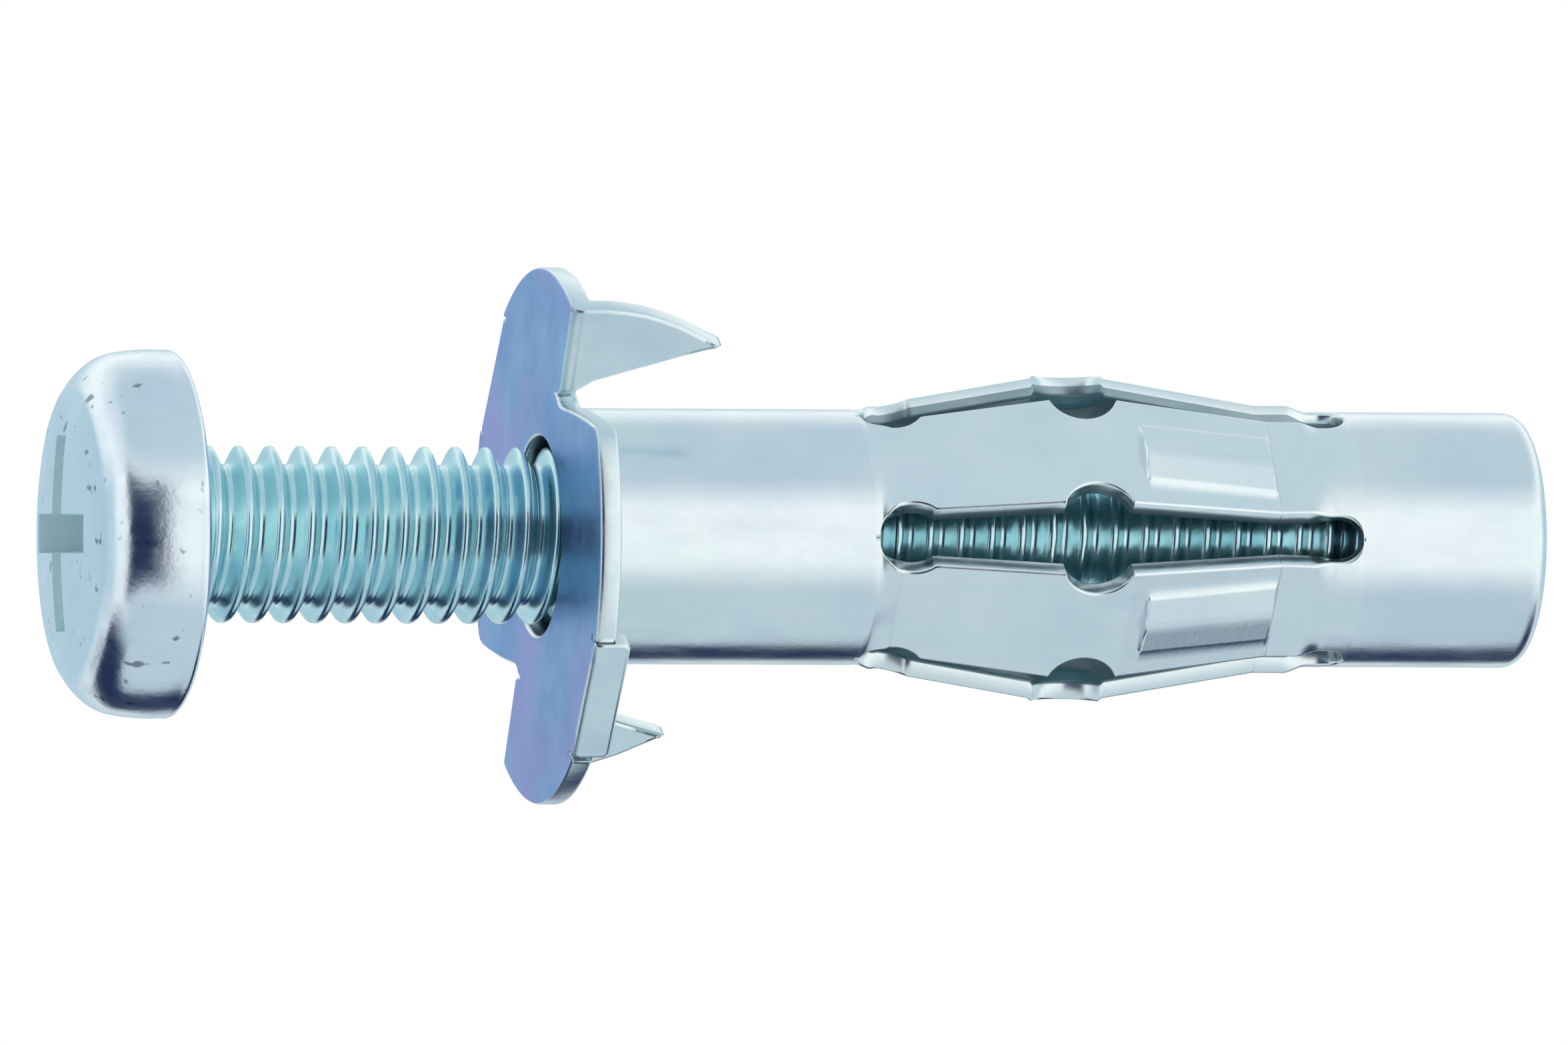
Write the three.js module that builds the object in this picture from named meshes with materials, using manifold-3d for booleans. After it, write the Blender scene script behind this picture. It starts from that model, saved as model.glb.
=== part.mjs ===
// Hollow-wall anchor with its machine screw, in millimetres.
// The anchor's axis is X and +X points into the wall. The origin is on the axis, in the plane of the
// flange's wall-side face. The sleeve is one piece of plated sheet steel: a flange with two spurs and two
// folded lips, a tube, five slotted legs that buckle outwards, and a rear collar that holds the threaded
// barrel. The legs bend at three places, so each leg is a front link and a rear link here.
import * as THREE from "three";
import { mergeVertices } from "three/addons/utils/BufferGeometryUtils.js";
import Module from "manifold-3d";

// ---- driving dimensions (mm) ----
// sheet and flange
const SHEET = 0.45; // wall of the tube and the legs
const FLANGE_T = 0.5;
const FLANGE_R = 5.93;
const FLANGE_HOLE_R = 2.2;
// tube
const TUBE_R = 2.82;
const TUBE_IN_R = TUBE_R - SHEET;
// legs: three bending lines, at equal spacing, so that the collar stays on the axis as they fold
const LEG_COUNT = 5;
const LEG_FIRST = 36; // degrees from the -Y side, towards +Z
const FRONT_PIVOT_X = 7.15;
const KNEE_X = 11.43;
const REAR_PIVOT_X = 2 * KNEE_X - FRONT_PIVOT_X;
const ROOT_D = 2.71; // axis to a leg's outer face at the front and rear bending lines
const KNEE_D = 3.28; // axis to its outer face at the knee
const ROOT_HALF_W = 1.27;
const KNEE_HALF_W = 1.45;
const KNEE_FLAT = 0.8; // half-length of the flat at the knee
const LINK_GAP = 0.015; // each side of a bending line
// slots between the legs
const SLOT_W = 1.0;
const SLOT_X0 = 7.3; // centre of the round front end
const SLOT_HOLE_R = 0.72;
const SLOT_X1 = 17.6;
const KNEE_HOLE_R = 0.82;
const KNEE_NOTCH = 0.56; // how deep the knee hole bites into a leg's edge
// bead on each rear link
const BEAD_X0 = 12.65;
const BEAD_X1 = 15.65;
const BEAD_HALF_W = 0.7;
const BEAD_H = 0.2;
// collar and threaded barrel
const COLLAR_X1 = 21.88;
const NUT_X0 = 17.8;
const NUT_X1 = 21.35;
const NUT_R = 2.32;
const NUT_BORE_R = 2.03;
// screw: M4 coarse thread, pan head
const PITCH = 0.7;
const THREAD_R = 1.95;
const ROOT_R = 1.55;
const HEAD_X1 = -8.76; // underside of the head
const HEAD_X0 = -11.4; // top of its dome
const HEAD_R = 4.06;
const SCREW_X1 = 21.2; // tip
const RECESS_DEPTH = 1.9;
const RECESS_R = 2.05;
const NECK = 0.14; // plain neck under the head
// spurs folded back out of the flange
const SPUR_FOOT = [1.98, 2.8]; // inner end of the fold line, in (towards -Y, towards +Z)
const SPUR_DIR = 60; // direction of the fold line, degrees
const SPUR_BASE = 2.5;
const SPUR_TIP = [1.59, 3.0]; // along the fold line, and back from the wall-side face
const SPUR_T = 0.45;
const NOTCH_SIDE = [5.5, 2.2]; // where the notch's other side meets the rim, (towards -Y, towards +Z)
const SPUR_BEND = 0.42; // bend radius on the outside
// folded lips
const LIP_D = 5.68; // axis to the lip's outer face
const LIP_AT = -40; // direction of its normal, degrees
const LIP_LEN = 3.3;
const LIP_BACK = 0.35; // how far it stands back from the wall-side face

// ---- helpers ----
const wasm = await Module();
wasm.setup();
const DEG = Math.PI / 180;

function solid(geometry) {
  const g = geometry.clone();
  g.deleteAttribute("normal");
  g.deleteAttribute("uv");
  const m = mergeVertices(g, 1e-5);
  const s = new wasm.Manifold(
    new wasm.Mesh({
      numProp: 3,
      vertProperties: new Float32Array(m.attributes.position.array),
      triVerts: new Uint32Array(m.index.array),
    }),
  );
  return s;
}

function geometryOf(s) {
  const mesh = s.getMesh();
  const g = new THREE.BufferGeometry();
  g.setAttribute("position", new THREE.BufferAttribute(new Float32Array(mesh.vertProperties), 3));
  g.setIndex(new THREE.BufferAttribute(new Uint32Array(mesh.triVerts), 1));
  return g;
}

// A body of revolution about X from a closed list of (x, radius).
function turned(points, segments = 40) {
  const profile = points.map(([x, r]) => new THREE.Vector2(r, x));
  const g = new THREE.LatheGeometry(profile, segments);
  g.rotateZ(-Math.PI / 2);
  const s = solid(g);
  if (s.volume() > 0) return s;
  const back = new THREE.LatheGeometry(profile.slice().reverse(), segments);
  back.rotateZ(-Math.PI / 2);
  return solid(back);
}

// An outline in its own plane, made thick along the plane's normal.
function plate(points, depth) {
  const shape = new THREE.Shape(points.map(([a, b]) => new THREE.Vector2(a, b)));
  return new THREE.ExtrudeGeometry(shape, { depth, bevelEnabled: false, curveSegments: 12 });
}

function placed(geometry, ex, ey, ez, at) {
  const m = new THREE.Matrix4().makeBasis(
    new THREE.Vector3(...ex),
    new THREE.Vector3(...ey),
    new THREE.Vector3(...ez),
  );
  m.setPosition(...at);
  return solid(geometry.clone().applyMatrix4(m));
}

const outward = (deg) => [0, -Math.cos(deg * DEG), Math.sin(deg * DEG)];
const aside = (deg) => [0, Math.sin(deg * DEG), Math.cos(deg * DEG)]; // 90 degrees further round

function roundHole(x, deg, r, sides = 20) {
  const g = new THREE.CylinderGeometry(r, r, 8, sides);
  g.translate(0, 4, 0);
  // the cylinder's own Y becomes the outward direction
  const n = outward(deg);
  return placed(g, [1, 0, 0], n, cross([1, 0, 0], n), [x, 0, 0]);
}

function cross(a, b) {
  return [a[1] * b[2] - a[2] * b[1], a[2] * b[0] - a[0] * b[2], a[0] * b[1] - a[1] * b[0]];
}

// A straight-sided radial cut from x0 to x1, w wide.
function slotCut(x0, x1, w, deg) {
  const g = new THREE.BoxGeometry(x1 - x0, 8, w);
  g.translate((x0 + x1) / 2, 4, 0);
  const n = outward(deg);
  return placed(g, [1, 0, 0], n, cross([1, 0, 0], n), [0, 0, 0]);
}

const legAngles = Array.from({ length: LEG_COUNT }, (_, i) => LEG_FIRST + (360 / LEG_COUNT) * i);
const slotAngles = legAngles.map((a) => a - 180 / LEG_COUNT);

// ---- sleeve front: flange, spurs, lips, tube and the short fingers before the legs ----
function flangedSleeve() {
  let s = turned([
    [-FLANGE_T, FLANGE_HOLE_R + 0.12],
    [-FLANGE_T, FLANGE_R - 0.12],
    [-FLANGE_T + 0.12, FLANGE_R],
    [-0.12, FLANGE_R],
    [0, FLANGE_R - 0.12],
    [0, TUBE_R + 0.22],
    [0.07, TUBE_R + 0.07],
    [0.22, TUBE_R],
    [FRONT_PIVOT_X - LINK_GAP, TUBE_R],
    [FRONT_PIVOT_X - LINK_GAP, TUBE_IN_R],
    [0.1, TUBE_IN_R],
    [-0.15, FLANGE_HOLE_R],
    [-FLANGE_T + 0.1, FLANGE_HOLE_R],
    [-FLANGE_T, FLANGE_HOLE_R + 0.12],
  ], 60);
  for (const a of slotAngles) s = s.subtract(roundHole(SLOT_X0, a, SLOT_HOLE_R));

  // spur: plan coordinates are p (towards -Y) and q (towards +Z)
  const u = [Math.cos(SPUR_DIR * DEG), Math.sin(SPUR_DIR * DEG)];
  const beyond = [0, 1].map((i) => SPUR_FOOT[i] + 2.2 * (NOTCH_SIDE[i] - SPUR_FOOT[i]));
  for (const turn of [0, 180]) {
    const spin = (p, q) => {
      const c = Math.cos(turn * DEG),
        d = Math.sin(turn * DEG);
      return [p * c - q * d, p * d + q * c];
    };
    const world = (p, q) => {
      const [a, b] = spin(p, q);
      return [0, -a, b];
    };
    const P = world(1, 0),
      Q = world(0, 1);
    // the notch that the spur was folded out of; its basis (Q, P, X) is right-handed
    const notch = plate(
      [
        [SPUR_FOOT[1], SPUR_FOOT[0]],
        [beyond[1], beyond[0]],
        [7.5, 7.5],
        [SPUR_FOOT[1] + 5 * u[1], SPUR_FOOT[0] + 5 * u[0]],
      ],
      3,
    );
    const basis = (ex, ey) => cross(ex, ey);
    s = s.subtract(placed(notch, Q, P, basis(Q, P), basis(Q, P)[0] > 0 ? [-1.5, 0, 0] : [1.5, 0, 0]));
    // the spur: an L section along the fold line, cut to a pointed fin
    const U = world(u[0], u[1]);
    const V = world(u[1], -u[0]); // towards the notch
    const t = SPUR_T,
      R = SPUR_BEND;
    const section = [
      [-1.2, -FLANGE_T],
      [-R, -FLANGE_T],
      [-R * (1 - Math.sin(30 * DEG)), -FLANGE_T + R * (1 - Math.cos(30 * DEG))],
      [-R * (1 - Math.sin(60 * DEG)), -FLANGE_T + R * (1 - Math.cos(60 * DEG))],
      [0, -FLANGE_T + R],
      [0, SPUR_TIP[1] + 0.5],
      [-t, SPUR_TIP[1] + 0.5],
      [-t, 0.12],
      [-t - 0.12, 0],
      [-1.2, 0],
    ];
    // section plane: first coordinate along V, second along X; it runs along U
    const ell = plate(section, SPUR_BASE + 0.6);
    const foot = world(SPUR_FOOT[0], SPUR_FOOT[1]);
    const dir = cross(V, [1, 0, 0]);
    const forward = dir[1] * U[1] + dir[2] * U[2] > 0;
    const at = forward ? foot : foot.map((c, i) => c + U[i] * (SPUR_BASE + 0.6));
    let spur = placed(ell, V, [1, 0, 0], dir, at);
    // fin outline: first coordinate along U, second along X
    const fin = [
      [0, -2],
      [0, -FLANGE_T + 0.05],
      [0.62, 0.08],
      [SPUR_TIP[0] - 0.05, SPUR_TIP[1]],
      [SPUR_TIP[0] + 0.05, SPUR_TIP[1]],
      [SPUR_TIP[0] + 0.25, SPUR_TIP[1] * 0.83],
      [SPUR_TIP[0] + 0.53, SPUR_TIP[1] * 0.65],
      [SPUR_TIP[0] + 0.8, SPUR_TIP[1] * 0.4],
      [SPUR_BASE, SPUR_TIP[1] * 0.13],
      [SPUR_BASE, -2],
    ];
    const dirF = cross(U, [1, 0, 0]);
    const thick = 4;
    spur = spur.intersect(
      placed(plate(fin, thick), U, [1, 0, 0], dirF, foot.map((c, i) => c - dirF[i] * (thick / 2))),
    );
    s = s.add(spur.intersect(turned([[-3, 0], [-3, FLANGE_R - 0.02], [6, FLANGE_R - 0.02], [6, 0]], 60)));

    // the lip: a chord of the flange folded back
    const ln = [Math.cos(LIP_AT * DEG), Math.sin(LIP_AT * DEG)];
    const N = world(ln[0], ln[1]);
    const T = world(-ln[1], ln[0]);
    const third = cross(N, T);
    const along = third[0] > 0;
    const cut = new THREE.BoxGeometry(2, LIP_LEN + 0.3, 3);
    cut.translate(LIP_D + 1, 0, 0);
    s = s.subtract(placed(cut, N, T, third, [0, 0, 0]));
    const lipSection = [
      [LIP_D - 1.1, -FLANGE_T],
      [LIP_D - 0.3, -FLANGE_T],
      [LIP_D - 0.09, -FLANGE_T + 0.09],
      [LIP_D, -FLANGE_T + 0.3],
      [LIP_D, LIP_BACK],
      [LIP_D - 0.42, LIP_BACK],
      [LIP_D - 0.42, -0.1],
      [LIP_D - 1.1, -0.1],
    ];
    // the disc behind the lip is cut to the lip's own bend
    const edge = plate([[LIP_D - 0.3, -FLANGE_T - 0.1], [LIP_D + 1, -FLANGE_T - 0.1], [LIP_D + 1, -FLANGE_T + 0.3], [LIP_D, -FLANGE_T + 0.3], [LIP_D - 0.09, -FLANGE_T + 0.09], [LIP_D - 0.3, -FLANGE_T]], LIP_LEN);
    const dirL = cross(N, [1, 0, 0]);
    const start = dirL.map((c) => (-c * LIP_LEN) / 2);
    s = s.subtract(placed(edge, N, [1, 0, 0], dirL, start));
    s = s.add(placed(plate(lipSection, LIP_LEN), N, [1, 0, 0], dirL, start));
  }
  return s;
}

// ---- one leg link: a flat plate whose outline is cut in plan ----
function legLink(deg, front) {
  const n = outward(deg),
    w = aside(deg);
  const x0 = front ? FRONT_PIVOT_X + LINK_GAP : KNEE_X + LINK_GAP;
  const x1 = front ? KNEE_X - LINK_GAP : REAR_PIVOT_X - LINK_GAP;
  const flat = front ? x1 - KNEE_FLAT : x0 + KNEE_FLAT;
  const side = front
    ? [
        [x0, ROOT_D - SHEET],
        [flat, KNEE_D - SHEET],
        [x1, KNEE_D - SHEET],
        [x1, KNEE_D],
        [flat, KNEE_D],
        [x0, ROOT_D],
      ]
    : [
        [x0, KNEE_D - SHEET],
        [flat, KNEE_D - SHEET],
        [x1, ROOT_D - SHEET],
        [x1, ROOT_D],
        [flat, KNEE_D],
        [x0, KNEE_D],
      ];
  const width = 4;
  const dirW = cross([1, 0, 0], n);
  let s = placed(plate(side, width), [1, 0, 0], n, dirW, dirW.map((c) => (-c * width) / 2));
  const half = [
    [x0 - 0.5, front ? ROOT_HALF_W : KNEE_HALF_W],
    [x1 + 0.5, front ? KNEE_HALF_W : ROOT_HALF_W],
  ];
  const plan = [
    [half[0][0], -half[0][1]],
    [half[1][0], -half[1][1]],
    [half[1][0], half[1][1]],
    [half[0][0], half[0][1]],
  ];
  // plan outline: first coordinate along X, second around the axis, made thick outwards
  const dirN = cross([1, 0, 0], w);
  const depth = 8;
  const ahead = dirN[1] * n[1] + dirN[2] * n[2] > 0;
  s = s.intersect(
    placed(plate(plan, depth), [1, 0, 0], w, dirN, ahead ? [0, 0, 0] : n.map((c) => c * depth)),
  );
  for (const sign of [-1, 1]) {
    const hole = (x, at, r) => {
      const g = new THREE.CylinderGeometry(r, r, 10, 24);
      return placed(g, [1, 0, 0], n, dirW, w.map((c, i) => c * sign * at + [x, 0, 0][i]));
    };
    s = s.subtract(hole(KNEE_X, KNEE_HALF_W - KNEE_NOTCH + KNEE_HOLE_R, KNEE_HOLE_R));
    if (front) s = s.subtract(hole(SLOT_X0, 1.06 + SLOT_HOLE_R, SLOT_HOLE_R));
  }
  if (!front) {
    // a roof-shaped bead on the outer face
    const slope = (ROOT_D - KNEE_D) / (REAR_PIVOT_X - LINK_GAP - (KNEE_X + LINK_GAP + KNEE_FLAT));
    const dAt = (x) => KNEE_D + slope * (x - (KNEE_X + LINK_GAP + KNEE_FLAT));
    const roof = plate(
      [
        [-BEAD_HALF_W, -0.15],
        [BEAD_HALF_W, -0.15],
        [BEAD_HALF_W, 0.05],
        [0, BEAD_H],
        [-BEAD_HALF_W, 0.05],
      ],
      BEAD_X1 - BEAD_X0,
    );
    const along = [1, n[1] * slope, n[2] * slope];
    const len = Math.hypot(...along);
    const ex = along.map((c) => c / len);
    const up = cross(ex, dirW).map((c) => -c);
    const sideways = cross(up, ex);
    s = s.add(
      placed(roof, sideways, up, ex, [BEAD_X0, n[1] * dAt(BEAD_X0), n[2] * dAt(BEAD_X0)]),
    );
  }
  return s;
}

// ---- rear collar: five short fingers and a tube with a curled rear edge ----
function rearCollar() {
  let s = turned([
    [REAR_PIVOT_X + LINK_GAP, TUBE_IN_R],
    [REAR_PIVOT_X + LINK_GAP, TUBE_R],
    [COLLAR_X1 - 0.45, TUBE_R],
    [COLLAR_X1 - 0.22, TUBE_R - 0.06],
    [COLLAR_X1 - 0.06, TUBE_R - 0.22],
    [COLLAR_X1, TUBE_R - 0.45],
    [COLLAR_X1 - 0.02, 2.12],
    [COLLAR_X1 - 0.42, 2.12],
    [COLLAR_X1 - 0.44, TUBE_IN_R],
    [REAR_PIVOT_X + LINK_GAP, TUBE_IN_R],
  ], 60);
  for (const a of slotAngles) {
    s = s.subtract(slotCut(REAR_PIVOT_X - 1, SLOT_X1 - SLOT_W / 2, SLOT_W, a));
    s = s.subtract(roundHole(SLOT_X1 - SLOT_W / 2, a, SLOT_W / 2, 16));
  }
  return s;
}

function nutBarrel() {
  return turned([
    [NUT_X0, NUT_BORE_R + 0.12],
    [NUT_X0, NUT_R],
    [NUT_X1, NUT_R],
    [NUT_X1, NUT_BORE_R + 0.12],
    [NUT_X1 - 0.12, NUT_BORE_R],
    [NUT_X0 + 0.12, NUT_BORE_R],
    [NUT_X0, NUT_BORE_R + 0.12],
  ], 48);
}

// ---- screw ----
// A helical rod: every column of the grid is shifted along X with its angle, so that the ridge and the
// valley of the thread run along rows, and the last column joins the first one pitch further on.
function threadRod(x0, x1, segments = 16) {
  const rowsPerPitch = 2;
  const rows = Math.ceil((x1 - x0) / PITCH + 1) * rowsPerPitch + 1;
  const points = [];
  for (let j = 0; j < segments; j++) {
    const a = (2 * Math.PI * j) / segments;
    for (let i = 0; i < rows; i++) {
      const x = x0 - PITCH + (i * PITCH) / rowsPerPitch + (PITCH * j) / segments;
      const r = i % 2 ? THREAD_R : ROOT_R;
      points.push(x, -r * Math.cos(a), r * Math.sin(a));
    }
  }
  const index = [];
  const at = (i, j) => j * rows + i;
  const used = rows - rowsPerPitch;
  for (let j = 0; j < segments; j++)
    for (let i = 0; i < rows - 1; i++) {
      const k = (j + 1) % segments;
      const shift = j === segments - 1 ? rowsPerPitch : 0;
      if (i + 1 + shift >= rows) continue;
      index.push(at(i, j), at(i, k) + shift, at(i + 1, j));
      index.push(at(i + 1, j), at(i, k) + shift, at(i + 1, k) + shift);
    }
  // the two ends: a fan from a point on the axis to the stepped end loop
  const first = points.length / 3;
  points.push(x0 - 2 * PITCH, 0, 0);
  const start = [];
  for (let j = 0; j < segments; j++) start.push(at(0, j));
  for (let i = 0; i <= rowsPerPitch; i++) if (i > 0) start.splice(0, 0, at(i, 0));
  // start now runs down the step at column 0, then round the first row
  const loopA = [];
  for (let j = 0; j < segments; j++) loopA.push(at(0, j));
  for (let i = rowsPerPitch; i >= 1; i--) loopA.push(at(i, 0));
  for (let i = 0; i < loopA.length; i++) index.push(first, loopA[(i + 1) % loopA.length], loopA[i]);
  const last = points.length / 3;
  points.push(x0 + (used + 2) * (PITCH / rowsPerPitch) + PITCH, 0, 0);
  const loopB = [];
  const top = rows - 1;
  for (let j = 0; j < segments; j++) loopB.push(at(top, j));
  // the last column joins row (top - rowsPerPitch) of its own to the top row of the first
  const l = segments - 1;
  for (let i = top - 1; i >= top - rowsPerPitch; i--) loopB.push(at(i, l));
  for (let i = 0; i < loopB.length; i++) index.push(last, loopB[i], loopB[(i + 1) % loopB.length]);
  const g = new THREE.BufferGeometry();
  g.setAttribute("position", new THREE.BufferAttribute(new Float32Array(points), 3));
  g.setIndex(index);
  let s = solid(g);
  if (s.volume() < 0) {
    const flipped = index.slice();
    for (let i = 0; i < flipped.length; i += 3) [flipped[i + 1], flipped[i + 2]] = [flipped[i + 2], flipped[i + 1]];
    g.setIndex(flipped);
    s = solid(g);
  }
  return s;
}

function screw() {
  const thread = threadRod(HEAD_X1 - 0.2, SCREW_X1 + 0.4).intersect(
    turned([
      [HEAD_X1 - 0.4, 0],
      [HEAD_X1 - 0.4, THREAD_R + 0.5],
      [SCREW_X1 - 0.55, THREAD_R + 0.5],
      [SCREW_X1 - 0.55, THREAD_R],
      [SCREW_X1, THREAD_R - 0.5],
      [SCREW_X1, 0],
    ], 24),
  );
  let head = turned([
    [HEAD_X1 + NECK, 0],
    [HEAD_X1 + NECK, THREAD_R + 0.02],
    [HEAD_X1, THREAD_R + 0.02],
    [HEAD_X1, HEAD_R - 0.15],
    [HEAD_X1 - 0.19, HEAD_R],
    [-10.2, HEAD_R],
    [-10.32, 3.97],
    [-10.71, 3.68],
    [-10.95, 3.38],
    [-11.18, 2.7],
    [-11.33, 1.6],
    [HEAD_X0, 0],
  ], 48);
  // cross recess: two tapered bars, square to each other, and a small centre cone
  for (const a of [0, 90]) {
    const half = 0.46;
    const bar = plate(
      [
        [HEAD_X0 - 0.5, -RECESS_R - 0.12],
        [HEAD_X0 - 0.5, RECESS_R + 0.12],
        [HEAD_X0 + RECESS_DEPTH, RECESS_R - 0.75],
        [HEAD_X0 + RECESS_DEPTH, -RECESS_R + 0.75],
      ],
      2 * half,
    );
    const w = outward(a);
    const third = cross([1, 0, 0], w);
    head = head.subtract(placed(bar, [1, 0, 0], w, third, third.map((c) => -c * half)));
  }
  return thread.add(head);
}

// ---- scene graph ----
const anchor = new THREE.Group();
const zinc = (name, color, roughness) => {
  const m = new THREE.MeshStandardMaterial({ color, roughness, metalness: 1 });
  m.name = name;
  return m;
};

function addPiece(parent, name, s, material) {
  const mesh = new THREE.Mesh(geometryOf(s), material);
  mesh.name = name;
  parent.add(mesh);
}

const sleeve = new THREE.Group();
const hardware = new THREE.Group();
anchor.add(sleeve, hardware);
addPiece(sleeve, "flanged_sleeve", flangedSleeve(), zinc("sleeve_front", 0xa9bfd6, 0.34));
legAngles.forEach((a, i) => {
  addPiece(sleeve, `leg_${i + 1}_front`, legLink(a, true), zinc(`leg_${i + 1}_front`, 0xbdd0d8, 0.38));
  addPiece(sleeve, `leg_${i + 1}_rear`, legLink(a, false), zinc(`leg_${i + 1}_rear`, 0xbdd0d8, 0.38));
});
addPiece(sleeve, "rear_collar", rearCollar(), zinc("rear_collar", 0xc2d4da, 0.36));
addPiece(hardware, "nut_barrel", nutBarrel(), zinc("nut_barrel", 0x9fb4bd, 0.4));
addPiece(hardware, "screw", screw(), zinc("screw", 0x9cc6d2, 0.3));

export default anchor;
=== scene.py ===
import math

import bmesh
import bpy
import numpy as np
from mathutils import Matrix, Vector

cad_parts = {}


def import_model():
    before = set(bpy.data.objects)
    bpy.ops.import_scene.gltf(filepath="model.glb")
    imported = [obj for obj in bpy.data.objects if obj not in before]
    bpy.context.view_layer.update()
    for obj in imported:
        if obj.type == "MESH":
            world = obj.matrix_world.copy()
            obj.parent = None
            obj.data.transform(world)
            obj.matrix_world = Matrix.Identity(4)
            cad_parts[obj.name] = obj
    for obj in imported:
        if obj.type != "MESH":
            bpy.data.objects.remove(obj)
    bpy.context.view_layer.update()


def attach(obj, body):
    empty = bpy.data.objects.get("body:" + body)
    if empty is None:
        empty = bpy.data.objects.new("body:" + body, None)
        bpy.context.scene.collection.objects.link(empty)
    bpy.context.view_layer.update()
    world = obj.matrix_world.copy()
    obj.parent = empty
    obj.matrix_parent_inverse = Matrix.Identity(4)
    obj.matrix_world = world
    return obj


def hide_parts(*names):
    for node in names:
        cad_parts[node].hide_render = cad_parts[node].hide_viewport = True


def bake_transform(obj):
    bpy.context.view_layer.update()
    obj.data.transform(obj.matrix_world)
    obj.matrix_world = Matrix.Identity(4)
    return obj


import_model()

MM = 0.001

# ---------- dimensions ----------
T = 0.45  # sheet in the tube and legs
FLANGE_T = 0.5
FLANGE_R = 5.92
HOLE_R = 2.2
TUBE_R = 2.82
TUBE_END = 6.5  # the closed tube ends here and the leg strips start
LEGS = [36 + 72 * i for i in range(5)]
PIVOT_X = 7.15
KNEE_X = 11.43
REAR_X = 2 * KNEE_X - PIVOT_X
ROOT_D = 2.71
KNEE_D = 3.28
KNEE_FLAT = 0.8
ROOT_HW = 1.27
KNEE_HW = 1.45
SLOT_END = 17.6
COLLAR_X1 = 21.88
PITCH = 0.7


# ---------- mesh helpers ----------
def finish_mesh(name, verts, faces, material, sharp=38, weld=2e-4, second=None):
    me = bpy.data.meshes.new(name)
    me.from_pydata([tuple(float(c) * MM for c in v) for v in verts], [], faces)
    me.materials.append(material)
    if second:
        me.materials.append(second[0])
        me.polygons.foreach_set("material_index", [int(v) for v in second[1]])
    bm = bmesh.new()
    bm.from_mesh(me)
    bmesh.ops.remove_doubles(bm, verts=bm.verts, dist=weld * MM)
    bmesh.ops.dissolve_degenerate(bm, edges=bm.edges, dist=weld * MM * 0.5)
    bmesh.ops.recalc_face_normals(bm, faces=bm.faces)
    bm.to_mesh(me)
    bm.free()
    me.validate()
    me.polygons.foreach_set("use_smooth", [True] * len(me.polygons))
    me.set_sharp_from_angle(angle=math.radians(sharp))
    o = bpy.data.objects.new(name, me)
    bpy.context.scene.collection.objects.link(o)
    return o


def smooth(t):
    t = min(1.0, max(0.0, t))
    return t * t * (3 - 2 * t)


def lerp(x, xs, ys):
    return float(np.interp(x, xs, ys))


def lathe(name, profile, material, segments=144, sharp=38, closed=False):
    """profile: (x, r) points, on the axis at both ends, or closed."""
    verts, faces = [], []
    n = len(profile)
    for x, r in profile:
        for k in range(segments):
            a = 2 * math.pi * k / segments
            verts.append((x, -r * math.cos(a), r * math.sin(a)))
    rows = n if closed else n - 1
    for i in range(rows):
        j = (i + 1) % n
        for k in range(segments):
            l = (k + 1) % segments
            faces.append((i * segments + k, i * segments + l, j * segments + l, j * segments + k))
    return finish_mesh(name, verts, faces, material, sharp)


def catmull(points, per=6):
    """A smooth curve through the points."""
    p = [np.array(q, float) for q in points]
    p = [2 * p[0] - p[1]] + p + [2 * p[-1] - p[-2]]
    out = []
    for i in range(1, len(p) - 2):
        for k in range(per):
            t = k / per
            a, b, c, d = p[i - 1], p[i], p[i + 1], p[i + 2]
            out.append(0.5 * (2 * b + (c - a) * t + (2 * a - 5 * b + 4 * c - d) * t * t + (3 * b - a - 3 * c + d) * t ** 3))
    out.append(p[-2])
    return [tuple(q) for q in out]


def arc(cx, cr, radius, a0, a1, steps=6):
    """Points (x, r) on a circle, angles in degrees from +x towards +r."""
    return [(cx + radius * math.cos(math.radians(a0 + (a1 - a0) * k / steps)),
             cr + radius * math.sin(math.radians(a0 + (a1 - a0) * k / steps))) for k in range(steps + 1)]


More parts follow.
